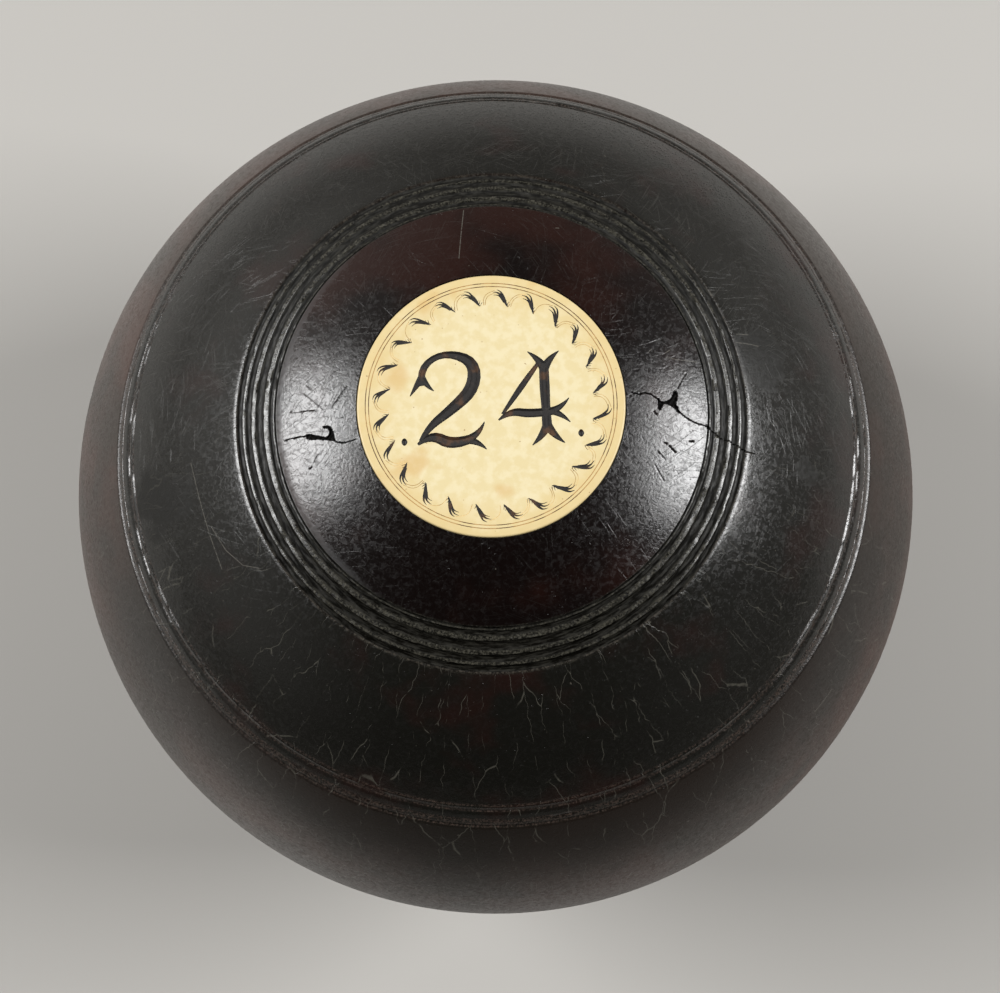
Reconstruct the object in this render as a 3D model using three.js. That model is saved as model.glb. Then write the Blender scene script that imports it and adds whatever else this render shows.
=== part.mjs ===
// A lawn bowl turned from one block of dark, heavy hardwood, with a flat bone disc let into each side.
//
// Millimetres, +Z up. The turning axis is Z. The bowl lies on the flat face of its small disc, which is
// at Z 0, and its large disc faces up. All of it is turned on a lathe, so every piece is a profile of
// radius and height that is spun about Z. Heights in the profiles are measured from the widest circle.

import * as THREE from "three";

// The block of wood. It is a ball whose two sides are turned down a little, and the plain side, where
// the large disc is, is turned down more. That leaves the other side heavier, which is the bowl's bias.
const runningDiameter = 127;
const plainFlattening = 0.7;
const biasFlattening = 0.1;

// The bone discs. Their faces are flat, and their rims are flush with the wood.
const largeDiscRadius = 16.2;
const smallDiscRadius = 12.7;
const discThickness = 3.2;
const discEase = 0.25;
const discClearance = 0.3;

// The line that is turned into the face of each disc, measured in from its rim.
const borderLineInset = 1.3;
const borderLineWidth = 0.5;
const borderLineDepth = 0.15;

// The cement that each disc is bedded on, and the mark of the lathe's centre under it.
const cementThickness = 0.4;
const cementInset = 0.6;
const centreMarkRadius = 2.4;
const centreMarkDepth = 5;

// The reeded band round each disc: grooves side by side with narrow lands between them. Its gap is the
// way along the wood from the disc's rim to the first groove.
const reedGap = 10.7;
const reedCount = 4;
const reedGrooveWidth = 1.1;
const reedLandWidth = 0.7;
const reedDepth = 0.6;

// The shallow grooves on each shoulder, and the way along the wood to them from the reeded band.
const plainShoulderGap = 19.8;
const biasShoulderGap = 23.4;
const shoulderGrooveCount = 2;
const shoulderGrooveWidth = 1.9;
const shoulderLandWidth = 1;
const shoulderGrooveDepth = 0.3;

// A groove's flat floor is this share of its width. The curve of the wood has a point at least every
// curveStep degrees, and each piece is spun in turnSteps steps.
const grooveFloorShare = 0.4;
const curveStep = 6;
const turnSteps = 60;

const runningRadius = runningDiameter / 2;

const plainSide = {
  crown: runningRadius - plainFlattening,
  discRadius: largeDiscRadius,
  shoulderGap: plainShoulderGap,
};

const biasSide = {
  crown: runningRadius - biasFlattening,
  discRadius: smallDiscRadius,
  shoulderGap: biasShoulderGap,
};

// The angle from the axis, seen from the middle of the bowl, at a radius on the wood's surface.
const angleAtRadius = (radius) => Math.asin(radius / runningRadius);

// The angle that a short way along the wood's surface takes up.
const angleAlong = (way) => way / runningRadius;

// The wood's surface on one side at an angle from the axis, sunk by a depth square to the surface.
function surfacePoint(side, angle, depth = 0) {
  const radius = (runningRadius - depth) * Math.sin(angle);
  const height = (side.crown - depth) * Math.cos(angle);
  return new THREE.Vector2(radius, height);
}

// A disc's flat face is at the height where the curve of the wood has come in to the disc's rim.
const faceHeight = (side) => surfacePoint(side, angleAtRadius(side.discRadius)).y;
const cementTop = (side) => faceHeight(side) - discThickness;
const recessFloor = (side) => cementTop(side) - cementThickness;

// The points of the plain curve between two angles, without either end.
function curveBetween(side, from, to) {
  const steps = Math.ceil(THREE.MathUtils.radToDeg(to - from) / curveStep);
  const points = [];
  for (let i = 1; i < steps; i++) {
    points.push(surfacePoint(side, THREE.MathUtils.lerp(from, to, i / steps)));
  }
  return points;
}

// One groove that starts at an angle: its two edges, with its flat floor between them.
function groove(side, start, width, depth) {
  const end = start + angleAlong(width);
  const slope = angleAlong((width * (1 - grooveFloorShare)) / 2);
  return [
    surfacePoint(side, start),
    surfacePoint(side, start + slope, depth),
    surfacePoint(side, end - slope, depth),
    surfacePoint(side, end),
  ];
}

// A band of equal grooves from an angle outwards.
function grooves(side, start, count, width, landWidth, depth) {
  const points = [];
  for (let i = 0; i < count; i++) {
    points.push(...groove(side, start + i * angleAlong(width + landWidth), width, depth));
  }
  return points;
}

const bandWidth = (count, width, landWidth) => count * width + (count - 1) * landWidth;
const reedBandWidth = bandWidth(reedCount, reedGrooveWidth, reedLandWidth);
const shoulderBandWidth = bandWidth(shoulderGrooveCount, shoulderGrooveWidth, shoulderLandWidth);

// One side of the wood, from the bottom of its centre mark, over its recess and grooves, to the point
// before the widest circle.
function woodSide(side) {
  const recessRadius = side.discRadius + discClearance;
  const recessRim = angleAtRadius(recessRadius);
  const reedStart = angleAtRadius(side.discRadius) + angleAlong(reedGap);
  const reedEnd = reedStart + angleAlong(reedBandWidth);
  const shoulderStart = reedEnd + angleAlong(side.shoulderGap);
  const shoulderEnd = shoulderStart + angleAlong(shoulderBandWidth);
  return [
    new THREE.Vector2(0, recessFloor(side) - centreMarkDepth),
    new THREE.Vector2(centreMarkRadius, recessFloor(side)),
    new THREE.Vector2(recessRadius, recessFloor(side)),
    surfacePoint(side, recessRim),
    ...curveBetween(side, recessRim, reedStart),
    ...grooves(side, reedStart, reedCount, reedGrooveWidth, reedLandWidth, reedDepth),
    ...curveBetween(side, reedEnd, shoulderStart),
    ...grooves(
      side,
      shoulderStart,
      shoulderGrooveCount,
      shoulderGrooveWidth,
      shoulderLandWidth,
      shoulderGrooveDepth,
    ),
    ...curveBetween(side, shoulderEnd, Math.PI / 2),
  ];
}

// A disc, from the middle of its face over the turned line and the eased rim to its back.
function discProfile(side) {
  const face = faceHeight(side);
  const lineRadius = side.discRadius - borderLineInset;
  return [
    new THREE.Vector2(0, face),
    new THREE.Vector2(lineRadius - borderLineWidth / 2, face),
    new THREE.Vector2(lineRadius, face - borderLineDepth),
    new THREE.Vector2(lineRadius + borderLineWidth / 2, face),
    new THREE.Vector2(side.discRadius - discEase, face),
    new THREE.Vector2(side.discRadius, face - discEase),
    new THREE.Vector2(side.discRadius, cementTop(side)),
    new THREE.Vector2(0, cementTop(side)),
  ];
}

// The cement under a disc. It stops short of the disc's rim, because it was pressed out from the middle.
function cementProfile(side) {
  const radius = side.discRadius - cementInset;
  return [
    new THREE.Vector2(0, cementTop(side)),
    new THREE.Vector2(radius, cementTop(side)),
    new THREE.Vector2(radius, recessFloor(side)),
    new THREE.Vector2(0, recessFloor(side)),
  ];
}

// The wood, from the bottom of the lower centre mark over the widest circle to that of the upper one.
function woodProfile() {
  const widest = new THREE.Vector2(runningRadius, 0);
  return [...turnedOver(woodSide(biasSide)), widest, ...woodSide(plainSide).reverse()];
}

// The same profile on the underside of the widest circle.
function turnedOver(profile) {
  return profile.map((point) => new THREE.Vector2(point.x, -point.y));
}

// A named piece: its profile spun about Z. The spin wants the profile listed upwards.
function turned(name, profile, material) {
  const first = profile[0];
  const last = profile[profile.length - 1];
  const upwards = first.y < last.y ? profile : [...profile].reverse();
  const geometry = new THREE.LatheGeometry(upwards, turnSteps);
  geometry.rotateX(Math.PI / 2);
  const mesh = new THREE.Mesh(geometry, material);
  mesh.name = name;
  return mesh;
}

const hardwood = new THREE.MeshStandardMaterial({ color: 0x1d1412, roughness: 0.32, metalness: 0 });
const bone = new THREE.MeshStandardMaterial({ color: 0xefe0b4, roughness: 0.45, metalness: 0 });
const cement = new THREE.MeshStandardMaterial({ color: 0x3a2413, roughness: 0.6, metalness: 0 });

const bowl = new THREE.Group();
bowl.add(turned("bowl_body", woodProfile(), hardwood));
bowl.add(turned("large_disc", discProfile(plainSide), bone));
bowl.add(turned("large_disc_cement", cementProfile(plainSide), cement));
bowl.add(turned("small_disc", turnedOver(discProfile(biasSide)), bone));
bowl.add(turned("small_disc_cement", turnedOver(cementProfile(biasSide)), cement));
bowl.position.z = faceHeight(biasSide);

const part = new THREE.Group();
part.add(bowl);

export default part;
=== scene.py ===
# %% [markdown]
# A lawn bowl is one block of dark, very heavy hardwood, turned to a ball that is a little flat on two
# sides. A disc of bone is let into each side, and rings of grooves are turned round it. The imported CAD
# model gives the frame: metres, +Z up, the turning axis on Z, and the bowl lying on its small disc. Each
# step below makes one piece or one finish and prints what it made.

# %% Load the frame
import math
import random

import bpy
from mathutils import Matrix, Vector


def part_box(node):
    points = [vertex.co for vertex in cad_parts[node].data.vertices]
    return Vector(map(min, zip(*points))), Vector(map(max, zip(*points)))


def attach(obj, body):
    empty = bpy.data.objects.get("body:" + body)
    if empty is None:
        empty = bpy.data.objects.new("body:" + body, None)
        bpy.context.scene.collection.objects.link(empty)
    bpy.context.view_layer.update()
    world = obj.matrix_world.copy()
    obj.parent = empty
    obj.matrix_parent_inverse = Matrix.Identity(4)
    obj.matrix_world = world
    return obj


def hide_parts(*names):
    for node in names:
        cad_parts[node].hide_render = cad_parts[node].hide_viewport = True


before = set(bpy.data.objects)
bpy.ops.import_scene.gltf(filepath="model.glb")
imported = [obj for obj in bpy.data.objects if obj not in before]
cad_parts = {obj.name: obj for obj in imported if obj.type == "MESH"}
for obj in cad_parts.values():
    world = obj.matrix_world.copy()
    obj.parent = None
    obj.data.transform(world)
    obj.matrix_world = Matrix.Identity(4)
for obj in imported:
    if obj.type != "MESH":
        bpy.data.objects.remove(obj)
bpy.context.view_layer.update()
MM = 0.001

_, body_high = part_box("bowl_body")
large_low, large_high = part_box("large_disc")
small_low, small_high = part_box("small_disc")
running_radius = body_high.x / MM
large_disc_radius = large_high.x / MM
small_disc_radius = small_high.x / MM
large_face = large_high.z / MM
small_face = small_low.z / MM
print("bowl", 2 * running_radius, "mm across; discs", 2 * large_disc_radius, 2 * small_disc_radius)

# %% [markdown]
# The two sides of the bowl are flattened by different amounts, so the height of the widest circle isn't
# half of the whole height. The surface of a side has the radius R sin(angle) and the height
# crown cos(angle), where the angle is measured from the axis, and a disc's face lies where that curve
# comes in to the disc's rim. The crowns come from two given flattenings, and the small disc's face then
# gives the one length that the frame doesn't say outright, the height of the widest circle; all finishes
# and the camera use it. The print shows how far the large disc's face lies from where this puts it.

# %% The crowns and the widest circle
plain_flattening = 0.7
bias_flattening = 0.1
plain_crown = running_radius - plain_flattening
bias_crown = running_radius - bias_flattening


def cosine_at(radius):
    """The cosine of the angle from the axis at which the wood has this radius."""
    return math.sqrt(1 - (radius / running_radius) ** 2)


widest_height = small_face + bias_crown * cosine_at(small_disc_radius)
expected_face = widest_height + plain_crown * cosine_at(large_disc_radius)
print("widest circle at", round(widest_height, 3), "mm")
print("large disc's face is off by", round(expected_face - large_face, 4), "mm")

# %% [markdown]
# The camera looks down on the large disc, a little from the side that a reader stands on. Its tilt and
# roll were found by fitting the circles that are turned into the wood, and its distance by how much the
# near disc is enlarged. The lens then follows from the size of the outline. A slight yaw sets the bowl a
# little left of the picture's middle.

# %% Camera
camera_tilt = math.radians(10.54)
camera_roll = math.radians(3)
camera_yaw = math.radians(0.144)
camera_distance = 254
camera_lens = 58.18

bowl_centre = Vector((0, 0, widest_height * MM))
camera_turn = Matrix.Rotation(camera_tilt, 3, "X") @ Matrix.Rotation(-camera_roll, 3, "Z")
camera_right, camera_up, camera_back = camera_turn.col
camera_place = bowl_centre + camera_back * camera_distance * MM
camera_aim = camera_turn @ Matrix.Rotation(-camera_yaw, 3, "Y")
bpy.ops.object.camera_add(location=camera_place, rotation=camera_aim.to_euler())
camera = bpy.context.object
camera.data.lens = camera_lens
camera.data.clip_start = 0.01
bpy.context.scene.camera = camera
print("camera at", [round(c, 4) for c in camera.location])

# %% [markdown]
# Polished wood is dark, so most of what the eye sees on it are reflections. Two large softboxes stand
# left and right above the bowl and show as the two broad highlights beside the disc. A lamp's place is
# given as the direction in which the camera sees it mirrored: an angle away from the camera's axis, and
# a turn round that axis from the picture's right.

# %% Softboxes
lamp_distance = 0.95


def direction_seen(away, turn):
    """The world direction at an angle away from the camera's axis, turned from the picture's right."""
    away = math.radians(away)
    turn = math.radians(turn)
    sideways = camera_right * math.cos(turn) + camera_up * math.sin(turn)
    return camera_back * math.cos(away) + sideways * math.sin(away)


def softbox(name, away, turn, width, height, watts):
    """A rectangular lamp that faces the bowl from a mirrored direction."""
    direction = direction_seen(away, turn)
    facing = direction.to_track_quat("Z", "Y").to_euler()
    bpy.ops.object.light_add(type="AREA", location=bowl_centre + direction * lamp_distance, rotation=facing)
    lamp = bpy.context.object
    lamp.name = name
    lamp.data.shape = "RECTANGLE"
    lamp.data.size = width
    lamp.data.size_y = height
    lamp.data.energy = watts
    lamp.visible_camera = False


softbox("right_softbox", away=51, turn=13, width=0.42, height=0.285, watts=9.6)
softbox("left_softbox", away=49.5, turn=161.5, width=0.44, height=0.30, watts=9.0)

# %% [markdown]
# Shader maths is easier to read as sums than as nodes. A Signal wraps one socket, and + - * ** on it add
# Math nodes. A Finish wraps a node tree, and its node method adds any other node: settings come first,
# because they change which sockets there are, and then the values or links of its sockets.

# %% Shader maths
class Signal:
    """A socket whose value changes over a surface. Python's operators on it add Math nodes."""

    def __init__(self, finish, socket):
        self.finish = finish
        self.socket = socket

    def math(self, operation, *others):
        return self.finish.node("Math", {"operation": operation}, dict(enumerate((self, *others))))

    def __add__(self, other):
        return self.math("ADD", other)

    __radd__ = __add__

    def __sub__(self, other):
        return self.math("SUBTRACT", other)

    def __rsub__(self, other):
        return self.finish.constant(other).math("SUBTRACT", self)

    def __mul__(self, other):
        return self.math("MULTIPLY", other)

    def __pow__(self, other):
        return self.math("POWER", other)

    def __abs__(self):
        return self.math("ABSOLUTE")


class Finish:
    """A node tree under construction."""

    def __init__(self, owner, output):
        owner.use_nodes = True
        self.owner = owner
        self.tree = owner.node_tree
        self.tree.nodes.clear()
        self.output = self.tree.nodes.new("ShaderNodeOutput" + output)

    def surface(self, shader):
        """Ends the tree in a shader."""
        self.put(self.output.inputs["Surface"], shader)

    def principled(self, sockets):
        return self.node("BsdfPrincipled", None, sockets)

    def object_place(self):
        """Object coordinates, in metres."""
        return self.node("TexCoord", None, None, "Object")

    def put(self, socket, value):
        """Links a Signal to a socket, or writes a plain value on it."""
        if isinstance(value, Signal):
            self.tree.links.new(value.socket, socket)
        elif isinstance(value, tuple) and len(value) == 3 and socket.type == "RGBA":
            socket.default_value = (*value, 1)
        else:
            socket.default_value = value

    def node(self, kind, settings=None, sockets=None, out=0):
        """Adds a node of a kind such as "Math", and returns a Signal for one of its outputs."""
        node = self.tree.nodes.new("ShaderNode" + kind)
        for name, value in (settings or {}).items():
            setattr(node, name, value)
        for name, value in (sockets or {}).items():
            self.put(node.inputs[name], value)
        return Signal(self, node.outputs[out])

    def constant(self, number):
        """A plain number as a Signal, for sums that start with one."""
        return self.node("Math", {"operation": "ADD"}, {0: number, 1: 0.0})

    def vector(self, operation, *operands, out="Vector", **sockets):
        """A Vector Math node."""
        inputs = dict(enumerate(operands))
        inputs.update(sockets)
        return self.node("VectorMath", {"operation": operation}, inputs, out)

    def split(self, vector):
        """The three components of a vector."""
        first = self.node("SeparateXYZ", None, {0: vector})
        return [Signal(self, socket) for socket in first.socket.node.outputs]

    def joined(self, x, y, z):
        """A vector from three numbers."""
        return self.node("CombineXYZ", None, {0: x, 1: y, 2: z})

    def step(self, value, start, end):
        """0 below start, 1 above end, and smooth in between. It falls instead where start is above end."""
        sockets = {"Value": value, "From Min": min(start, end), "From Max": max(start, end)}
        sockets["To Min"] = float(start > end)
        sockets["To Max"] = float(start < end)
        return self.node("MapRange", {"interpolation_type": "SMOOTHSTEP"}, sockets)

    def noise(self, vector, scale, detail=2.0, roughness=0.5, distortion=0.0, out=0):
        """Noise from 0 to 1, with about `scale` bumps per unit of the vector. Its Color is three noises."""
        sockets = {"Vector": vector, "Scale": scale, "Detail": detail, "Roughness": roughness}
        sockets["Distortion"] = distortion
        return self.node("TexNoise", None, sockets, out)

    def colour(self, factor, low, high):
        """A colour between two colours."""
        return self.node("Mix", {"data_type": "RGBA"}, {0: factor, 6: low, 7: high}, out=2)

    def bump(self, height, distance):
        """Tilts the surface as a height would, in metres of distance for a height of 1."""
        return self.node("Bump", None, {"Height": height, "Distance": distance, "Strength": 1.0})


def new_finish(name):
    """A Finish for a new material."""
    return Finish(bpy.data.materials.new(name), "Material")


print("shader helpers ready")

# %% [markdown]
# The room behind the softboxes is soft and uneven. Bright walls left and right show as a grey veil on the
# upper slopes of the bowl, and a darker side below keeps the lower slopes deep. The light comes from the
# world's shader: a low level everywhere, and a few broad lobes, each the power of the dot product of a
# direction with the lobe's middle.

# %% Room light
room = Finish(bpy.data.worlds.new("studio"), "World")
bpy.context.scene.world = room.owner
room_direction = room.node("TexCoord", None, None, "Generated")
room_direction = room.vector("NORMALIZE", room_direction)
room_light = room.constant(0.016)

# Each lobe's angle away from the camera's axis, its turn, its narrowness and its light.
room_lobes = [
    (95, 150, 3.5, 0.78),
    (105, 30, 4.0, 0.57),
    (100, 90, 2.2, 0.10),
    (74, 205, 12, 0.30),
    (78, 325, 14, 0.14),
]
for away, turn, narrowness, light in room_lobes:
    middle = tuple(direction_seen(away, turn))
    nearness = room.vector("DOT_PRODUCT", room_direction, middle, out="Value").math("MAXIMUM", 0.0)
    room_light = room_light + nearness ** narrowness * light
room_colour = room.node("Background", None, {"Color": (1.0, 0.97, 0.92), "Strength": room_light})
room.surface(room_colour)
print("room light of", len(room_lobes), "lobes")

# %% [markdown]
# The floor is a plain pale sheet. It is large, so that it also fills the other views, and it carries the
# bowl's soft shadow. Towards the reader it darkens in a painted shade, because the bowl mirrors it there on
# its lower slope.

# %% Floor
floor_size = 6
bpy.ops.mesh.primitive_plane_add(size=floor_size, location=(0, 0, small_face * MM))
floor = bpy.context.object
floor.name = "floor"
floor_finish = new_finish("pale floor")
_, floor_y, _ = floor_finish.split(floor_finish.object_place())
# Painted shade: the floor darkens towards the reader.
floor_painted_shade = floor_finish.step(floor_y, -0.112, -0.21)
floor_colour = floor_finish.colour(floor_painted_shade, (0.412, 0.399, 0.377), (0.145, 0.138, 0.126))
floor_sockets = {"Base Color": floor_colour, "Roughness": 0.8, "Specular IOR Level": 0.2}
floor_finish.surface(floor_finish.principled(floor_sockets))
floor.data.materials.append(floor_finish.owner)
print("floor", floor_size, "m wide")

# %% [markdown]
# The wood is turned on a lathe, so it starts as half of its outline and is spun round the axis. The
# outline is a list of places on one side: a way along the wood from the axis, and how deep the place lies
# under the ball's surface. First come the rings near the disc. A narrow tool left a thin ridge and three
# wider ones, each narrower than the one before, and years of wear have rounded them.

# %% The outline's grooves
reed_depth = 0.44
reed_parts = [
    ("groove", 0.30, 0.34),
    ("ridge", 0.22, 0.15),
    ("groove", 0.68, reed_depth),
    ("ridge", 0.62, 0.02),
    ("groove", 1.31, reed_depth),
    ("ridge", 0.50, 0.03),
    ("groove", 1.03, reed_depth),
    ("ridge", 0.33, 0.04),
    ("groove", 1.01, reed_depth),
]
lip_points = [(0.0, 0.15), (0.07, 0.070), (0.26, 0.022), (0.52, 0.005), (1.4, 0.0)]
shoulder_points = [
    (0.00, 0.00), (0.10, 0.10), (0.30, 0.10), (0.38, 0.24), (0.46, 0.14), (0.78, 0.03),
    (0.90, 0.10), (1.32, 0.10), (1.42, 0.24), (1.50, 0.13), (1.86, 0.01),
    (2.30, 0.00), (2.90, 0.02), (3.00, 0.15), (3.40, 0.14), (3.46, 0.22), (3.54, 0.14), (3.95, 0.12),
    (4.28, 0.14), (4.36, 0.38), (4.44, 0.30), (4.80, 0.06), (4.94, 0.01), (5.20, 0.00),
]


def groove_points(start, width, depth):
    """A groove with a rounded floor."""
    shares = [(0.10, 0.70), (0.28, 0.97), (0.50, 1.0), (0.72, 0.97), (0.90, 0.70)]
    return [(start + width * along, depth * sunk) for along, sunk in shares]


def ridge_points(start, width, sink):
    """A ridge with rounded edges, sunk a little under the surface and worn lower on the disc's side."""
    shares = [(0.0, 0.11), (0.09, 0.015), (0.30, 0.0), (0.90, 0.0), (1.0, 0.08)]
    lean = 0.12 * width
    return [(start + width * along, sink + extra + lean * (1 - along)) for along, extra in shares]


def reed_points():
    """The whole band near the disc, as ways along the wood and depths."""
    points = [(-0.03, 0.0), (0.02, 0.06)]
    start = 0.0
    for kind, width, depth in reed_parts:
        make = groove_points if kind == "groove" else ridge_points
        points += make(start, width, depth)
        start += width
    return points + [(start + way, depth) for way, depth in lip_points]


reed_width = sum(width for _, width, _ in reed_parts)
print("reeded band", round(reed_width, 2), "mm wide, with", len(reed_points()), "points")

# %% [markdown]
# The rest of the outline is the plain curve, with a point about every half millimetre beside the large
# disc, where chips and cracks will be worked in, and fewer elsewhere. The recess under the disc and the
# mark of the lathe's centre are kept, because they are on the real block too.

# %% The outline of one side
reed_gap = 10.9
visible_gap = 0.1
bed_depth = 3.6
centre_mark_radius = 2.4
centre_mark_depth = 5
disc_zone_spacing = {"plain": 0.55, "bias": 1.5}
ring_spacing = 1.6
sole_spacing = 2.6
shoulder_gaps = {"plain": 20.1, "bias": 23.7}
crowns = {"plain": plain_crown, "bias": bias_crown}
disc_radii = {"plain": large_disc_radius, "bias": small_disc_radius}
face_heights = {"plain": large_face - widest_height, "bias": widest_height - small_face}


def surface_point(side, angle, depth):
    """Radius and height of a place on one side, sunk square to the surface."""
    radius = (running_radius - depth) * math.sin(angle)
    height = (crowns[side] - depth) * math.cos(angle)
    return radius, height


def plain_run(start, end, spacing):
    """Ways along the wood between two features, with no depth."""
    count = max(1, round((end - start) / spacing))
    return [(start + (end - start) * i / count, 0.0) for i in range(1, count)]


def zone_starts(side):
    """The ways along the wood at which a side's reeded band and shoulder grooves start."""
    reed_start = running_radius * math.asin(disc_radii[side] / running_radius) + reed_gap
    return reed_start, reed_start + reed_width + shoulder_gaps[side]


def side_outline(side):
    """The outline of one side, from the axis to the widest circle."""
    recess_radius = disc_radii[side] + visible_gap
    recess_floor = face_heights[side] - bed_depth
    recess_rim = running_radius * math.asin(recess_radius / running_radius)
    reed_start, shoulder_start = zone_starts(side)
    reed_end = reed_start + reed_width
    shoulder_end = shoulder_start + shoulder_points[-1][0]
    quarter = running_radius * math.pi / 2
    ways = [(recess_rim, 0.0)]
    ways += plain_run(recess_rim, reed_start, disc_zone_spacing[side])
    ways += [(reed_start + way, depth) for way, depth in reed_points()]
    ways += plain_run(reed_end + lip_points[-1][0], shoulder_start, ring_spacing)
    ways += [(shoulder_start + way, depth) for way, depth in shoulder_points]
    ways += plain_run(shoulder_end, quarter, sole_spacing)
    centre = (0.0, recess_floor - centre_mark_depth)
    outline = [centre, (centre_mark_radius, recess_floor), (recess_radius, recess_floor)]
    return outline + [surface_point(side, way / running_radius, depth) for way, depth in ways]


upper = side_outline("plain")
lower = [(radius, -height) for radius, height in side_outline("bias")]
bowl_outline = lower + [(running_radius, 0.0)] + upper[::-1]
print("outline of", len(bowl_outline), "points")

# %% [markdown]
# A spin wants the outline as a chain of edges. The chain grows by extruding one point again and again, as
# one would by hand, and the spin then closes it to a solid. Its seam and its two poles hold doubled
# points, which are merged before the faces are turned outwards.

# %% Turn the block
turn_steps = 336
merge_distance = 1e-6
smooth_angle = math.radians(32)


def pick(piece):
    """Makes a piece the only selected object, and the active one."""
    bpy.ops.object.select_all(action="DESELECT")
    piece.select_set(True)
    bpy.context.view_layer.objects.active = piece


def edit(piece):
    """Enters edit mode on a piece."""
    pick(piece)
    bpy.ops.object.mode_set(mode="EDIT")


def leave_edit():
    """Goes back to object mode."""
    bpy.ops.object.mode_set(mode="OBJECT")


def apply_modifiers(piece):
    """Applies the piece's modifiers in their order."""
    pick(piece)
    for modifier in list(piece.modifiers):
        bpy.ops.object.modifier_apply(modifier=modifier.name)


def turned_piece(name, outline, steps):
    """A solid that is spun from an outline of radii and heights above the widest circle."""
    places = [Vector((radius, 0, widest_height + height)) * MM for radius, height in outline]
    bpy.ops.mesh.primitive_plane_add(size=MM, location=(0, 0, 0))
    piece = bpy.context.object
    piece.name = name
    edit(piece)
    bpy.ops.mesh.select_all(action="SELECT")
    bpy.ops.mesh.merge(type="CENTER")
    bpy.ops.transform.translate(value=places[0])
    for before, place in zip(places, places[1:]):
        bpy.ops.mesh.extrude_region_move(TRANSFORM_OT_translate={"value": place - before})
    bpy.ops.mesh.select_all(action="SELECT")
    bpy.ops.mesh.spin(steps=steps, angle=math.tau, center=(0, 0, 0), axis=(0, 0, 1))
    bpy.ops.mesh.select_all(action="SELECT")
    bpy.ops.mesh.remove_doubles(threshold=merge_distance)
    bpy.ops.mesh.normals_make_consistent(inside=False)
    leave_edit()
    return piece


bowl = turned_piece("bowl", bowl_outline, turn_steps)
print("turned block:", len(bowl.data.vertices), "points,", len(bowl.data.polygons), "faces")

# %% [markdown]
# Two long drying cracks run outwards from the disc, and along each a chip of wood has come away. They are
# given as paths in millimetres on the wood, seen from above. The faces round them are divided finely
# first, so that the points can follow such narrow shapes.

# %% Cracks and chips
right_crack = [
    (17.01, 0.61), (17.78, 0.42), (18.51, 0.64), (19.29, 0.45), (19.97, 0.04), (20.41, -0.55), (21.36, -0.60),
    (22.44, -1.28), (23.19, -2.04), (23.96, -2.56), (24.91, -3.0), (26.04, -3.26), (26.59, -3.63),
]
far_crack = [(26.59, -3.63), (27.92, -4.66), (28.91, -4.92), (30.38, -5.62), (31.2, -6.11), (32.47, -6.45)]
left_crack = [
    (-16.37, -3.36), (-17.29, -3.58), (-18.02, -3.67), (-18.74, -3.48), (-19.09, -3.22), (-20.37, -2.92),
    (-22.67, -2.26), (-23.51, -2.25), (-24.08, -2.29), (-24.83, -2.31), (-25.37, -2.49),
]
right_chip = [
    (20.13, 0.04), (20.12, -0.56), (20.21, -1.60), (20.47, -1.47), (20.87, -0.73), (21.35, -0.76),
    (22.05, -1.10), (22.60, -1.75), (22.85, -1.86), (22.67, -1.14), (22.41, -0.72), (22.64, -0.08),
    (22.70, 0.56), (22.60, 0.93), (22.21, 0.91), (21.93, 0.13), (21.42, -0.30), (20.89, -0.46),
    (20.52, -0.39), (20.32, -0.05),
]
left_chip = [
    (-20.46, -1.34), (-20.03, -1.27), (-19.49, -1.47), (-19.23, -1.98), (-19.05, -2.65), (-19.02, -3.20),
    (-19.46, -3.18), (-20.19, -3.02), (-20.14, -2.70), (-19.76, -2.51), (-19.60, -2.12), (-19.84, -1.69),
    (-20.28, -1.60),
]
left_slot = [
    (-22.66, -2.08), (-22.34, -2.01), (-21.46, -2.31), (-20.36, -2.63), (-20.14, -2.82), (-20.26, -3.04),
    (-21.11, -2.86), (-22.12, -2.78), (-22.58, -2.52),
]
band_nick = [(26.13, -3.10), (26.56, -3.31), (26.63, -3.70), (26.17, -3.65)]
dashes = [
    [(20.63, -5.47), (20.93, -5.62)],
    [(21.24, -5.85), (21.92, -6.60)],
    [(23.86, -5.23), (24.26, -5.21)],
    [(19.61, -1.68), (19.91, -2.02)],
    [(-22.25, -6.28), (-22.09, -6.12)],
]
deep_scratches = [
    [(-22.38, 4.19), (-21.65, 3.42)],
    [(-22.78, 3.22), (-21.68, 2.18), (-20.24, 0.73)],
    [(-17.22, 3.28), (-18.17, 2.11), (-19.22, 0.78)],
    [(-24.64, 0.99), (-22.84, 0.87), (-20.98, 0.74)],
    [(-21.18, -4.75), (-21.68, -5.58)],
    [(22.79, 1.29), (23.37, 2.45), (23.96, 3.29)],
    [(19.69, -6.49), (20.58, -7.55)],
    [(19.28, -8.18), (19.70, -9.09), (20.27, -10.07)],
]
wound_depth = 0.40
wound_reach = 0.75
wound_cuts = 4


def distance_to_path(place, path):
    """The distance from a place to the nearest stretch of a path, seen from above."""
    nearest = math.inf
    for start, end in zip(path, path[1:]):
        start = Vector(start)
        along = Vector(end) - start
        share = (place - start).dot(along) / along.length_squared
        nearest = min(nearest, (place - start - along * min(1, max(0, share))).length)
    return nearest


def inside(place, outline):
    """True where a place lies within a closed outline."""
    crossings = 0
    for (ax, ay), (bx, by) in zip(outline, outline[1:] + outline[:1]):
        if (ay > place.y) != (by > place.y):
            crossings += place.x < ax + (place.y - ay) * (bx - ax) / (by - ay)
    return crossings % 2 == 1


def wound_weight(place):
    """How deep a place is sunk, from 0 to 1."""
    weight = 0.0
    for outline in wound_hollows:
        if inside(place, outline):
            weight = max(weight, 0.75 + 0.25 * math.sin(place.x * 9) * math.cos(place.y * 7))
    for paths, depth, half_width in wound_lines:
        for path in paths:
            weight = max(weight, depth * (1 - distance_to_path(place, path) / half_width))
    return weight


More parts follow.
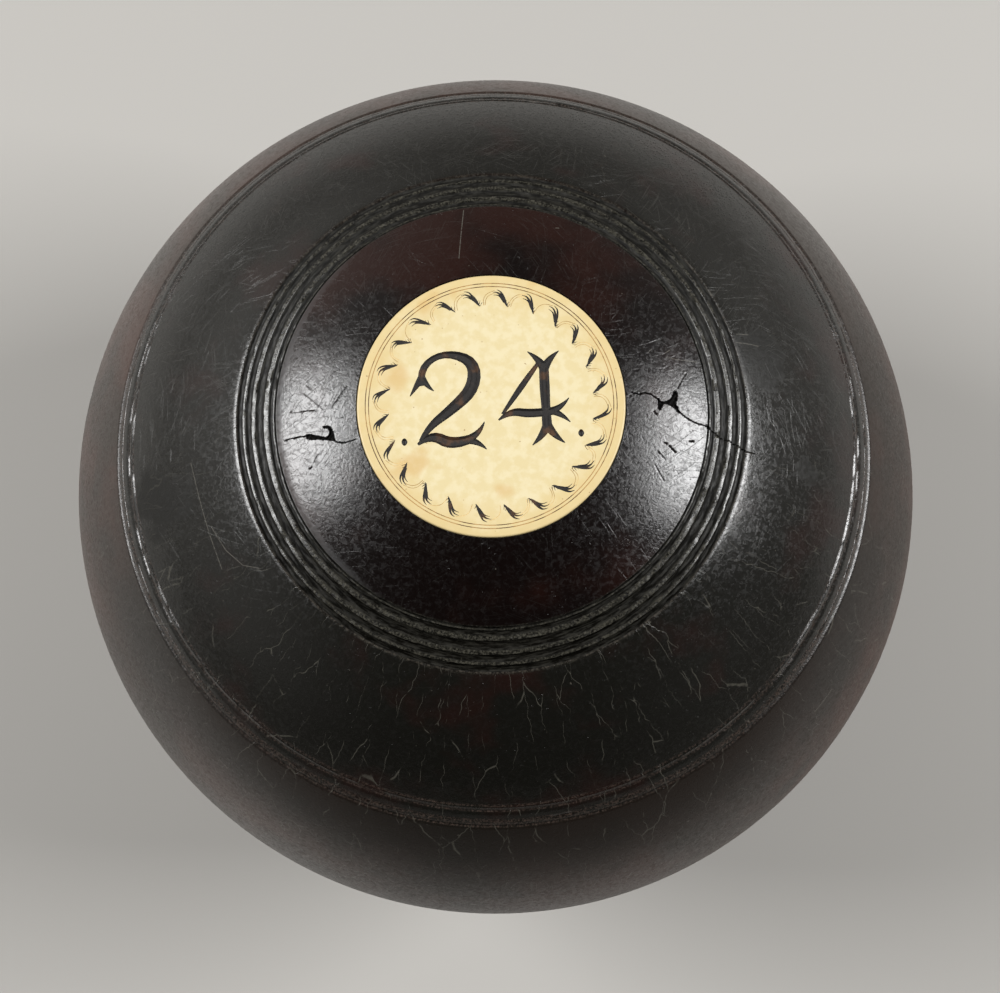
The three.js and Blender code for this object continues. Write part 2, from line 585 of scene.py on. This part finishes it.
wound_lines = [
    ([right_crack, left_crack], 0.7, 0.075),
    ([far_crack], 0.6, 0.06),
    (dashes, 0.5, 0.10),
    (deep_scratches, 0.16, 0.07),
]
wound_hollows = [right_chip, left_chip, left_slot, band_nick]
wounds = [path for paths, _, _ in wound_lines for path in paths]
wounds += [outline + outline[:1] for outline in wound_hollows]
wound_zone = (16.6, 33.0)


def near_wound(place):
    """True close to a crack, a chip or a deep scratch on the plain side."""
    if place.z < widest_height * MM:
        return False
    flat = place.xy / MM
    if not wound_zone[0] < flat.length < wound_zone[1]:
        return False
    return any(distance_to_path(flat, path) < wound_reach for path in wounds)


edit(bowl)
bpy.ops.mesh.select_all(action="DESELECT")
leave_edit()
for face in bowl.data.polygons:
    face.select = near_wound(face.center)
edit(bowl)
bpy.ops.mesh.select_mode(type="FACE")
bpy.ops.mesh.subdivide(number_cuts=wound_cuts)
leave_edit()
sunk = bowl.vertex_groups.new(name="wounds")
sunk_count = 0
for point in bowl.data.vertices:
    if point.select and near_wound(point.co):
        weight = wound_weight(point.co.xy / MM)
        if weight > 0:
            sunk.add([point.index], weight, "REPLACE")
            sunk_count += 1
sink = bowl.modifiers.new("sink the wounds", "DISPLACE")
sink.vertex_group = sunk.name
sink.mid_level = 0
sink.strength = -wound_depth * MM
print("sank", sunk_count, "points of", len(bowl.data.vertices))

# %% [markdown]
# A lifetime of knocks has chipped the crests of the ridges and the edges of the shoulder grooves. A cloud
# texture that is flat nearly everywhere and rises in a few spots pushes those crests in, and a vertex
# group keeps it off the plain surface.

# %% Knocked crests
knock_depth = 0.12
knock_size = 0.9
crest_depth = 0.2
crest_inset = 0.3
crests = bowl.vertex_groups.new(name="crests")


def depth_under_surface(place):
    """How far a place lies under the plain turned surface, and its angle from the axis."""
    height = place.z / MM - widest_height
    crown = plain_crown if height > 0 else bias_crown
    stretched = Vector((place.x / MM, place.y / MM, height * running_radius / crown))
    return running_radius - stretched.length, math.acos(min(1, abs(stretched.z) / stretched.length))


crest_count = 0
for point in bowl.data.vertices:
    depth, angle = depth_under_surface(point.co)
    way = angle * running_radius
    side = "plain" if point.co.z / MM > widest_height else "bias"
    reed_start, shoulder_start = zone_starts(side)
    in_reeds = crest_inset < way - reed_start < reed_width - crest_inset
    in_shoulder = crest_inset < way - shoulder_start < shoulder_points[-1][0] - crest_inset
    if depth < crest_depth and (in_reeds or in_shoulder):
        crests.add([point.index], 1.0 if in_reeds else 0.6, "REPLACE")
        crest_count += 1
knocks = bpy.data.textures.new("knocks", "CLOUDS")
knocks.noise_scale = knock_size * MM
knocks.noise_depth = 1
knocks.use_color_ramp = True
for element, position, shade in zip(knocks.color_ramp.elements, (0.62, 0.80), (0, 1)):
    element.position = position
    element.color = (shade, shade, shade, 1)
knock = bowl.modifiers.new("knock the crests", "DISPLACE")
knock.texture = knocks
knock.texture_coords = "LOCAL"
knock.vertex_group = crests.name
knock.mid_level = 0
knock.strength = -knock_depth * MM
apply_modifiers(bowl)
bpy.ops.object.shade_smooth_by_angle(angle=smooth_angle)
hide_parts("bowl_body")
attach(bowl, "root")
triangles = sum(len(face.vertices) - 2 for face in bowl.data.polygons)
print("knocked", crest_count, "crest points; bowl has", triangles, "triangles")

# %% [markdown]
# The hardwood is nearly black, with red-brown showing where the polish is clean, an olive film on the
# wood between the rings, and dust in the grooves. The zones follow from two measures that nodes work out
# from the place: how far it lies under the turned surface, and its angle from the axis.

# %% Hardwood finish
wood = new_finish("old polished hardwood")
to_mm = (1 / MM, 1 / MM, 1 / MM)
wood_mapping = {"Vector": wood.object_place(), "Location": (0, 0, -widest_height), "Scale": to_mm}
wood_place = wood.node("Mapping", None, wood_mapping)
wood_x, wood_y, wood_z = wood.split(wood_place)
wood_across = (wood_x * wood_x + wood_y * wood_y).math("SQRT")
wood_upper = wood.step(wood_z, -0.01, 0.01)
wood_stretch = wood_upper * (running_radius / plain_crown - running_radius / bias_crown)
wood_stretch = wood_stretch + running_radius / bias_crown
wood_high = wood_z * wood_stretch
wood_reach = (wood_across * wood_across + wood_high * wood_high).math("SQRT")
wood_depth = running_radius - wood_reach
wood_angle = wood_across.math("ARCTAN2", abs(wood_high)) * (180 / math.pi)


def radial(x, y, around, along):
    """A texture's place for marks that run outwards: more around is narrower, more along is shorter."""
    outwards = wood.vector("NORMALIZE", wood.joined(x, y, 0.0))
    outwards = wood.vector("SCALE", outwards, Scale=around)
    return wood.vector("ADD", outwards, wood.joined(0.0, 0.0, wood_angle * along))


# Masks for the zones, by the angle from the axis in degrees, and for what lies under the surface.
disc_zone = wood.step(wood_angle, 24.8, 24.4)
past_reeds = wood.step(wood_angle, 29.8, 30.4)
past_shoulder = wood.step(wood_angle, 51.9, 53)
reed_zone = (1 - disc_zone) * (1 - past_reeds)
in_groove = wood.step(wood_depth, 0.14, 0.34)
just_sunk = wood.step(wood_depth, 0.05, 0.14)
reader_side = wood.step(wood_y, 8, -30)
wounded = disc_zone * wood.step(wood_depth, 0.03, 0.10)

# Colour: a deep ground, red where the polish is clean, olive between the rings, brown on the sole. The red
# thins out towards the reader as painted shade, and the sole's near and lower right side gets painted shade.
patches = wood.noise(wood_place, 0.06, 3.0, 0.55)
# Painted shade: the red patches thin out towards the reader's side.
clean_red_and_painted_shade = wood.step(patches + wood_y * 0.004 + (wood_angle - 20) * 0.010, 0.46, 0.70)
wood_ground = wood.colour(clean_red_and_painted_shade, (0.0028, 0.0014, 0.0012), (0.0138, 0.0042, 0.0028))
outer_patches = wood.step(wood.noise(wood_place, 0.08, 3.0, 0.6), 0.52, 0.72)
outer_colour = wood.colour(outer_patches, (0.0060, 0.0057, 0.0045), (0.0115, 0.0054, 0.0042))
wood_ground = wood.colour(past_reeds, wood_ground, outer_colour)
sole_patches = wood.step(wood.noise(wood_place, 0.05, 4.0, 0.6), 0.38, 0.62)
sole_colour = wood.colour(sole_patches, (0.021, 0.0138, 0.0098), (0.045, 0.0215, 0.0152))
lower_right = wood.step(wood_x - wood_y, 5, 50)
# Painted shade: the sole darkens towards the reader and the lower right.
sole_painted_shade = reader_side.math("MAXIMUM", lower_right * 0.5) * wood.step(wood_angle, 73, 57)
sole_colour = wood.colour(sole_painted_shade * 0.88, sole_colour, (0.0075, 0.0060, 0.0045))
wood_ground = wood.colour(past_shoulder, wood_ground, sole_colour)
dust_noise = wood.noise(wood_place, 3.4, 3.0, 0.65)
streaks = wood.noise(radial(wood_x, wood_y, 16.0, 4.5), 1.0, 3.0, 0.6)
dirt = wood.colour(wood.step(streaks, 0.40, 0.72), (0.0034, 0.0031, 0.0024), (0.0240, 0.0226, 0.0174))
wood_ground = wood.colour(reed_zone, wood_ground, dirt)
worn_crest = reed_zone * (1 - in_groove) * wood.step(dust_noise, 0.42, 0.68)
wood_colour = wood.colour(worn_crest * 0.8, wood_ground, (0.066, 0.062, 0.048))
groove_dust = in_groove * (1 - disc_zone) * wood.step(dust_noise, 0.58, 0.76)
groove_colour = wood.colour(reed_zone * 0.7, (0.0030, 0.0026, 0.0020), dirt)
wood_colour = wood.colour(in_groove, wood_colour, groove_colour)
wood_colour = wood.colour(wounded, wood_colour, (0.0022, 0.0018, 0.0015))
wood_colour = wood.colour(groove_dust * 0.5, wood_colour, (0.034, 0.032, 0.024))
worn_edge = just_sunk * past_reeds * (1 - in_groove) * wood.step(dust_noise, 0.40, 0.70)
wood_colour = wood.colour(worn_edge * 0.8, wood_colour, (0.072, 0.051, 0.041))

# Fine scratches in several directions. Each is a noise that is stretched to long thin threads, and only
# its highest crests count. They lie in clusters.
scratch_turns = (8, 37, 66, 97, 128, 159)
bend = wood.vector("SCALE", wood.noise(wood_place, 0.05, 0.0, out="Color"), Scale=9.0)
bent_place = wood.vector("ADD", wood_place, bend)
clusters = wood.split(wood.noise(wood_place, 0.14, out="Color"))
scratches = wood.constant(0.0)
for number, turn in enumerate(scratch_turns):
    sockets = {"Vector": bent_place, "Rotation": (0.0, 0.0, math.radians(turn)), "Scale": (5.0, 0.14, 4.0)}
    sockets["Location"] = (number * 17.3, number * 31.1, number * 5.7)
    thread_place = wood.node("Mapping", {"vector_type": "TEXTURE"}, sockets)
    threads = wood.step(wood.noise(thread_place, 1.0, 0.0), 0.70, 0.80)
    cluster = clusters[number % 3]
    cluster = wood.step(cluster, 0.42, 0.64) if number < 3 else wood.step(cluster, 0.58, 0.36)
    scratches = scratches.math("MAXIMUM", threads * cluster)
scratches = scratches * (1 - past_shoulder * 0.6) * (1 - reed_zone) * (1 - disc_zone * 0.4)
scratches = scratches * (1 - reader_side * (0.55 + past_reeds * 0.30))
wood_colour = wood.colour(scratches * 0.28, wood_colour, (0.050, 0.049, 0.043))

# A few longer pale scratches, ticks and a crack, as paths in millimetres seen from above.
pale_paths = [
    [(-38.27, -2.99), (-36.93, -8.90), (-36.06, -12.19), (-34.63, -16.71)],
    [(-35.78, -11.31), (-33.89, -14.53), (-31.70, -16.63), (-29.51, -17.27)],
    [(31.06, 7.89), (32.98, 7.86), (34.03, 7.73)],
    [(31.18, 9.03), (32.77, 9.14)],
    [(19.37, 5.71), (19.80, 6.14)],
    [(21.36, 5.63), (22.18, 6.17)],
    [(21.65, 5.23), (22.93, 4.96), (25.53, 4.79)],
    [(-3.01, 18.82), (-2.62, 22.32), (-2.16, 25.98)],
]
pale_half_width = 0.075
flat_place = wood.joined(wood_x, wood_y, 0.0)
pale_distance = wood.constant(9.0)
for path in pale_paths:
    for start, end in zip(path, path[1:]):
        start = Vector((*start, 0.0))
        along = Vector((*end, 0.0)) - start
        away = wood.vector("SUBTRACT", flat_place, tuple(start))
        share = wood.vector("DOT_PRODUCT", away, tuple(along / along.length_squared), out="Value")
        share = share.math("MAXIMUM", 0.0).math("MINIMUM", 1.0)
        nearest = wood.vector("SCALE", tuple(along), Scale=share)
        pale_distance = pale_distance.math("MINIMUM", wood.vector("DISTANCE", away, nearest, out="Value"))
pale_lines = wood_upper * wood.step(pale_distance, pale_half_width, pale_half_width * 0.3)
pale_lines = pale_lines * wood.step(dust_noise, 0.30, 0.50)
wood_colour = wood.colour(pale_lines * 0.8, wood_colour, (0.100, 0.094, 0.080))

# Matt patches on the outer ring, where handling has dulled it: a place, a size and how matt.
matt_spots = [((-43.2, -6.7, 0.0), 5.5, 0.8), ((33.7, 5.8, 0.0), 5.0, 0.7), ((39.4, -7.8, 0.0), 2.2, 0.5)]
matt = wood.constant(0.0)
uneven = wood.noise(wood_place, 0.30, 3.0, 0.6)
for middle, size, strength in matt_spots:
    spot = wood.vector("DISTANCE", flat_place, middle, out="Value") * (1 / size) + (uneven - 0.5) * 1.6
    matt = matt.math("MAXIMUM", wood.step(spot, 1.0, 0.5) * strength)
matt = matt * wood_upper * past_reeds

# Drying checks make a broken net that is stretched away from the disc: thin edges of tall cells.
check_cells = 15
check_stretch = 0.075
wander = wood.vector("SCALE", wood.noise(wood_place, 0.35, out="Color"), Scale=1.9)
check_x, check_y, _ = wood.split(wood.vector("ADD", wood_place, wander))
check_sockets = {"Vector": radial(check_x, check_y, check_cells, check_stretch), "Scale": 1.0}
cells = wood.node("TexVoronoi", {"feature": "DISTANCE_TO_EDGE"}, check_sockets)
checks = wood.step(cells, 0.012, 0.003)
checks = checks * wood.step(wood.noise(wood_place, 0.28, 3.0, 0.65), 0.46, 0.58)
checks = checks * (0.2 + reader_side * 0.8) * past_reeds
wood_colour = wood.colour(checks * 0.65, wood_colour, (0.078, 0.074, 0.060))

# The surface: an orange-peel grain in the polish, pits, scratches, checks and specks of dust.
grain = wood.noise(wood_place, 1.0, 3.0, 0.6)
fine_grain = wood.noise(wood_place, 3.2, 3.0, 0.65)
mottle = wood.noise(wood_place, 1.7, 2.0, 0.6, 0.6)
pits = wood.step(wood.noise(wood_place, 2.4, 1.0), 0.74, 0.79)
specks = wood.step(wood.noise(wood_place, 1.6, 1.0), 0.20, 0.16)
wood_colour = wood.colour(specks * 0.7, wood_colour, (0.090, 0.082, 0.068))
dull_rim = disc_zone * wood.step(wood_angle, 23.5, 24.7) * wood.step(wood_x, -14, -19)
roughness = 0.19 + past_shoulder * 0.10 + in_groove * 0.22 + scratches * 0.12
roughness = roughness + wood.step(mottle, 0.40, 0.72) * 0.16 + (fine_grain - 0.5) * 0.22 + pits * 0.2
roughness = roughness + dull_rim * 0.35 + matt * 0.25 + reed_zone * 0.05
wood_height = grain * 0.45 + mottle * 0.9 + fine_grain * 1.1 - scratches * 0.8 - checks * 0.5 - pits * 1.2
wood_height = wood_height + (dust_noise + streaks * 1.5) * in_groove * 1.5
wood_normal = wood.bump(wood_height, 0.02 * MM)
wood_sockets = {"Base Color": wood_colour, "Roughness": roughness, "Normal": wood_normal, "IOR": 1.5}
wood_shader = wood.principled(wood_sockets)

# Dirt in the grooves and torn wood in the wounds mirror far less than the polish does.
dull_shader = wood.node("BsdfDiffuse", None, {"Color": wood_colour, "Normal": wood_normal})
dirty = 0.30 + reader_side * 0.40 + wood.step(streaks, 0.60, 0.40) * 0.30
dullness = (in_groove * dirty).math("MAXIMUM", wounded * 0.9)
dullness = dullness.math("MAXIMUM", matt * 0.45)
dullness = dullness.math("MAXIMUM", past_shoulder * (0.06 + lower_right * 0.30))
wood_mix = wood.node("MixShader", None, {0: dullness, 1: wood_shader, 2: dull_shader})
wood.surface(wood_mix)
bowl.data.materials.append(wood.owner)
print("hardwood finish of", len(wood.tree.nodes), "nodes")

# %% [markdown]
# The discs are bone, polished flat and flush with the wood. The engraver's marks are V or U shaped cuts
# that swell and taper with the pressure of the hand, later filled with black. A curve with a radius at
# each point has just that form, so each stroke is one curve, and the strokes are cut from the disc with
# Booleans. The cut faces keep the stroke's material, which colours them.

# %% Bone, black and faded filling
bone = new_finish("old polished bone")
bone_place = bone.node("Mapping", None, {"Vector": bone.object_place(), "Scale": to_mm})
bone_x, bone_y, _ = bone.split(bone_place)
bone_across = (bone_x * bone_x + bone_y * bone_y).math("SQRT")
bone_mottle = bone.step(bone.noise(bone_place, 0.75, 4.0, 0.6), 0.40, 0.62)
bone_colour = bone.colour(bone_mottle, (0.63, 0.53, 0.300), (0.67, 0.585, 0.370))
yellowing = bone.step(bone_across + (bone.noise(bone_place, 0.22, 2.0) - 0.5) * 7, 10.5, 16.0)
bone_colour = bone.colour(yellowing * 0.75, bone_colour, (0.60, 0.46, 0.215))
stain = bone.step(bone.noise(bone_place, 0.16, 2.0, 0.5), 0.60, 0.72)
bone_colour = bone.colour(stain * 0.6, bone_colour, (0.56, 0.37, 0.145))
bone_specks = bone.step(bone.noise(bone_place, 2.2, 1.0), 0.76, 0.82)
bone_colour = bone.colour(bone_specks * 0.7, bone_colour, (0.25, 0.13, 0.05))
bone_normal = bone.bump(bone.noise(bone_place, 0.9, 4.0, 0.6), 0.02 * MM)
bone_sockets = {"Base Color": bone_colour, "Normal": bone_normal, "Roughness": 0.38, "IOR": 1.5}
bone.surface(bone.principled(bone_sockets))


def filling(name, dark, worn, fleck, share):
    """A matt filling in an engraved line, dark in places, worn to brown in others and finely flecked."""
    finish = new_finish(name + " filling")
    place = finish.object_place()
    patches = finish.noise(place, 0.4 / MM, 3.0, 0.6)
    colour = finish.colour(finish.step(patches, share, share + 0.15), dark, worn)
    flecks = finish.noise(place, 2.2 / MM, 3.0, 0.65)
    colour = finish.colour(finish.step(flecks, 0.60, 0.74) * 0.5, colour, fleck)
    grain = finish.bump(flecks, 0.06 * MM)
    finish.surface(finish.principled({"Base Color": colour, "Roughness": 0.62, "Normal": grain}))
    return finish.owner


black_filling = filling("black", (0.009, 0.007, 0.006), (0.060, 0.026, 0.009), (0.075, 0.066, 0.052), 0.54)
brown_filling = filling("brown", (0.10, 0.05, 0.015), (0.42, 0.25, 0.09), (0.30, 0.18, 0.07), 0.42)
tan_filling = filling("tan", (0.40, 0.26, 0.10), (0.66, 0.48, 0.22), (0.55, 0.38, 0.17), 0.42)
print("bone and three fillings")

# %% [markdown]
# A stroke is written as points of x, y and half width in millimetres. The curve through them is smooth,
# so a few points are enough for a bent, swelling cut.

# %% Strokes
stroke_flatness = 0.65
stroke_spare = 0.02


def stroke_curve(name, strokes, face_height, filling_material):
    """Strokes as one mesh of closed, tapering tubes that lie in the disc's face."""
    curve = bpy.data.curves.new(name, "CURVE")
    curve.dimensions = "3D"
    curve.bevel_depth = 1.0 * MM
    curve.bevel_resolution = 1
    curve.resolution_u = 4
    curve.use_fill_caps = True
    for points in strokes:
        closed = points[0] == points[-1]
        points = points[:-1] if closed else points
        spline = curve.splines.new("NURBS")
        spline.points.add(len(points) - 1)
        for control, (x, y, half_width) in zip(spline.points, points):
            control.co = (x * MM, y * MM, 0, 1)
            control.radius = half_width
        spline.order_u = 3
        spline.use_endpoint_u = not closed
        spline.use_cyclic_u = closed
    piece = bpy.data.objects.new(name, curve)
    bpy.context.collection.objects.link(piece)
    pick(piece)
    bpy.ops.object.convert(target="MESH")
    edit(piece)
    bpy.ops.mesh.select_all(action="SELECT")
    bpy.ops.mesh.remove_doubles(threshold=merge_distance)
    bpy.ops.mesh.dissolve_degenerate(threshold=merge_distance)
    bpy.ops.mesh.normals_make_consistent(inside=False)
    bpy.ops.transform.resize(value=(1, 1, stroke_flatness), center_override=(0, 0, 0))
    bpy.ops.transform.translate(value=(0, 0, face_height * MM))
    leave_edit()
    piece.data.materials.clear()
    piece.data.materials.append(filling_material)
    return piece


def reach(stroke):
    """The stretch in x, and then the one in y, that a stroke may touch."""
    across, along, half_widths = zip(*stroke)
    spare = max(half_widths) + stroke_spare
    return [(min(places) - spare, max(places) + spare) for places in (across, along)]


def apart(stroke, other):
    """True where two strokes can't touch."""
    stretches = zip(reach(stroke), reach(other))
    return any(high < other_low or other_high < low for (low, high), (other_low, other_high) in stretches)


def cutters_for(name, strokes, face_height, filling_material):
    """Cutters that together hold all the strokes. No cutter cuts itself, because that confuses a Boolean."""
    groups = []
    for stroke in strokes:
        free = [group for group in groups if all(apart(stroke, other) for other in group)]
        if free:
            free[0].append(stroke)
        else:
            groups.append([stroke])
    return [stroke_curve(name, group, face_height, filling_material) for group in groups]


print("strokes are", stroke_flatness, "as deep as half their width")

# %% [markdown]
# A border of small scallops runs round the disc. Each is a hump of faint hairlines that rises from the
# claw before it. Clockwise of its top the hump turns into a dark claw: tines that start fine at the ring,
# run together and fall inwards to a point, from which short ticks stand up again. No two are quite alike,
# so a seeded random number moves every point a little. Two fine rings run outside them.

# %% Scalloped border
scallop_count = 24
scallop_pitch = math.tau / scallop_count
ring_half_width = 0.055
hairline_half_width = 0.035
border_inset = 3.85
ring_insets = (1.02, 1.42)
first_scallop = math.radians(100)

# Points of way clockwise, height outwards from the border's foot, and half width, in millimetres.
hump_line = [(-1.72, 0.05), (-1.70, 0.75), (-1.35, 1.42), (-0.75, 1.80), (-0.15, 1.98)]
claw_tines = [
    [(-0.05, 2.08, 0.02), (0.40, 1.98, 0.07), (0.72, 1.55, 0.12),
     (1.02, 0.98, 0.13), (1.30, 0.45, 0.09), (1.62, -0.02, 0.02)],
    [(-0.48, 1.72, 0.02), (0.02, 1.76, 0.06), (0.48, 1.45, 0.13),
     (0.86, 0.95, 0.14), (1.18, 0.42, 0.10), (1.52, 0.00, 0.03)],
    [(-0.34, 1.36, 0.02), (0.12, 1.40, 0.05), (0.50, 1.14, 0.09), (0.80, 0.80, 0.10), (1.08, 0.44, 0.05)],
]
claw_ticks = [
    [(1.26, 0.26, 0.04), (1.30, 0.52, 0.045), (1.40, 0.82, 0.015)],
    [(1.46, 0.10, 0.04), (1.54, 0.36, 0.045), (1.66, 0.66, 0.015)],
    [(1.62, 0.00, 0.03), (1.78, 0.22, 0.035), (1.92, 0.48, 0.012)],
]


def ring_stroke(radius, points=48):
    """A turned hairline, closed."""
    turns = [math.tau * i / points for i in range(points)]
    ring = [(radius * math.cos(t), radius * math.sin(t), ring_half_width) for t in turns]
    return ring + ring[:1]


def scallop(turn, foot_radius, hand):
    """The hairlines and the claw strokes of one scallop."""
    size = hand.uniform(0.94, 1.04)

    def placed(way, height, half_width):
        way = way * size + hand.uniform(-0.05, 0.05)
        radius = foot_radius + height * size + hand.uniform(-0.05, 0.05)
        angle = turn - way / (foot_radius + 1)
        return radius * math.cos(angle), radius * math.sin(angle), half_width * hand.uniform(0.9, 1.3)

    hairlines = []
    for nest in range(hand.choice((1, 2, 2))):
        shrink = 1 - 0.15 * nest
        nested = [(way * shrink, height * shrink, hairline_half_width) for way, height in hump_line]
        hairlines.append([placed(*point) for point in nested])
    tines = claw_tines if hand.random() < 0.8 else claw_tines[:2]
    ticks = claw_ticks[:hand.choice((2, 3, 3))]
    return hairlines, [[placed(*point) for point in stroke] for stroke in tines + ticks]


def border(rim_radius, seed):
    """All rings, hairlines and claws of a disc's border."""
    hand = random.Random(seed)
    rings = [ring_stroke(rim_radius - inset) for inset in ring_insets]
    hairlines = []
    claws = []
    for number in range(scallop_count):
        turn = first_scallop - scallop_pitch * (number + hand.uniform(-0.05, 0.05))
        fine, dark = scallop(turn, rim_radius - border_inset, hand)
        hairlines += fine
        claws += dark
    return rings, hairlines, claws


large_rings, large_hairlines, large_claws = border(large_disc_radius, seed=11)
print("border of", len(large_hairlines), "hairlines and", len(large_claws), "claw strokes")

# %% [markdown]
# Such discs carry a mark by which the players told their bowls apart. Here it is a plain number in the
# style of the engraver's time: strong stems that split into two curved horns at their ends.

# %% Number
digit_two = [
    [(-3.0, 2.2, 0.42), (-3.3, 4.3, 0.46), (-0.4, 6.3, 0.36), (3.4, 5.1, 0.74), (3.3, 1.6, 0.84),
     (0.3, -1.0, 0.66), (-2.4, -2.9, 0.44), (-3.5, -4.6, 0.20)],
    [(-3.0, 3.3, 0.44), (-3.6, 2.3, 0.40), (-4.5, 1.0, 0.05)],
    [(-3.0, 3.3, 0.44), (-2.5, 2.2, 0.36), (-1.6, 1.5, 0.05)],
    [(-3.8, -5.0, 0.16), (-2.2, -3.7, 0.60), (0.4, -5.4, 0.76), (2.9, -4.5, 0.50)],
    [(2.1, -4.7, 0.50), (3.6, -4.2, 0.42), (4.3, -2.6, 0.05)],
    [(2.1, -4.7, 0.50), (3.5, -5.0, 0.38), (4.4, -6.0, 0.05)],
]
digit_four = [
    [(1.4, 4.4, 0.56), (1.35, 1.5, 0.66), (1.35, -1.5, 0.50), (1.4, -4.4, 0.66)],
    [(1.4, 3.5, 0.56), (1.0, 4.7, 0.50), (-0.5, 5.8, 0.05)],
    [(1.4, 3.5, 0.56), (1.9, 4.7, 0.50), (3.3, 5.7, 0.05)],
    [(1.4, -3.4, 0.58), (0.9, -4.6, 0.50), (-0.5, -5.8, 0.05)],
    [(1.4, -3.4, 0.58), (2.0, -4.6, 0.50), (3.4, -5.7, 0.05)],
    [(0.9, 4.5, 0.22), (-0.9, 2.2, 0.40), (-2.4, 0.2, 0.34), (-3.9, -1.8, 0.18)],
    [(-4.4, -2.5, 0.10), (-3.0, -1.4, 0.46), (-0.4, -2.0, 0.58), (2.4, -1.7, 0.48)],
    [(2.0, -1.7, 0.46), (3.2, -1.4, 0.38), (4.2, -0.2, 0.05)],
    [(2.0, -1.7, 0.46), (3.2, -2.1, 0.36), (4.2, -3.2, 0.05)],
]
digit_shift = 5.2
number_rise = 0.5
dot_place = 10.6
dot_rise = number_rise - 4.6
dot_size = 0.46
dot = [(-0.35, 0.0, 0.10), (-0.2, 0.0, dot_size), (0.2, 0.0, dot_size), (0.35, 0.0, 0.10)]


def moved(strokes, x, y):
    """The strokes at another place."""
    return [[(px + x, py + y, half_width) for px, py, half_width in stroke] for stroke in strokes]


number_strokes = moved(digit_two, -digit_shift, number_rise) + moved(digit_four, digit_shift, number_rise)
number_strokes += moved([dot], -dot_place, dot_rise) + moved([dot], dot_place, dot_rise)
print("number of", len(number_strokes), "strokes")

# %% [markdown]
# Each disc starts as a cylinder of the CAD disc's size. The edge of its face is rounded off, and then the
# strokes are cut. The cuts leave slivers, which are merged. Only the large disc carries the number.

# %% Discs
disc_sides = 192
disc_ease = 0.25
sliver_width = 2e-7


def bone_disc(name, low, high, face_up, cutters):
    """A disc with an eased rim, engraved by the cutters."""
    middle = (low + high) / 2
    bpy.ops.mesh.primitive_cylinder_add(
        vertices=disc_sides, radius=high.x, depth=high.z - low.z, location=(0, 0, 0)
    )
    piece = bpy.context.object
    piece.name = name
    edit(piece)
    bpy.ops.mesh.select_all(action="SELECT")
    bpy.ops.transform.translate(value=(0, 0, middle.z))
    bpy.ops.mesh.select_all(action="DESELECT")
    leave_edit()
    face_z = high.z if face_up else low.z
    for edge in piece.data.edges:
        ends = [piece.data.vertices[i].co for i in edge.vertices]
        edge.select = all(abs(end.z - face_z) < merge_distance for end in ends)
    edit(piece)
    bpy.ops.mesh.select_mode(type="EDGE")
    bpy.ops.mesh.bevel(offset=disc_ease * MM, segments=4, affect="EDGES")
    leave_edit()
    piece.data.materials.append(bone.owner)
    for cutter in cutters:
        cut = piece.modifiers.new("engrave", "BOOLEAN")
        cut.operation = "DIFFERENCE"
        cut.solver = "MANIFOLD"
        cut.material_mode = "TRANSFER"
        cut.object = cutter
        apply_modifiers(piece)
        bpy.data.objects.remove(cutter)
    edit(piece)
    bpy.ops.mesh.select_all(action="SELECT")
    bpy.ops.mesh.remove_doubles(threshold=sliver_width)
    bpy.ops.mesh.dissolve_degenerate(threshold=sliver_width)
    leave_edit()
    bpy.ops.object.shade_smooth_by_angle(angle=smooth_angle)
    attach(piece, "root")
    return piece


def engraving(rings, hairlines, claws, face_height):
    """The cutters for all marks on a disc."""
    cutters = cutters_for("rings", rings, face_height, brown_filling)
    cutters += cutters_for("hairlines", hairlines, face_height, tan_filling)
    return cutters + cutters_for("claws", claws, face_height, black_filling)


large_cutters = engraving(large_rings, large_hairlines, large_claws + number_strokes, large_face)
large_bone = bone_disc("large_bone", large_low, large_high, True, large_cutters)
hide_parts("large_disc")
small_cutters = engraving(*border(small_disc_radius, seed=5), small_face)
small_bone = bone_disc("small_bone", small_low, small_high, False, small_cutters)
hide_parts("small_disc")
print("faces of the discs:", len(large_bone.data.polygons), len(small_bone.data.polygons))

# %% [markdown]
# The discs are bedded in cement. It is hidden when the bowl is whole, but the pieces are there, so they
# get a finish of their own.

# %% Cement
cement = new_finish("brown cement")
cement_grain = cement.noise(cement.object_place(), 0.8 / MM, 4.0, 0.6)
cement_colour = cement.colour(cement_grain, (0.045, 0.022, 0.010), (0.11, 0.06, 0.028))
cement_normal = cement.bump(cement_grain, 0.05 * MM)
cement.surface(cement.principled({"Base Color": cement_colour, "Roughness": 0.7, "Normal": cement_normal}))
for name in ("large_disc_cement", "small_disc_cement"):
    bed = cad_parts[name]
    for slot in bed.material_slots:
        slot.material = cement.owner
print("cement finish on two beds")

# %% [markdown]
# The colours are written as they should be seen, so the picture uses the Standard view.

# %% Standard view
bpy.context.scene.view_settings.view_transform = "Standard"
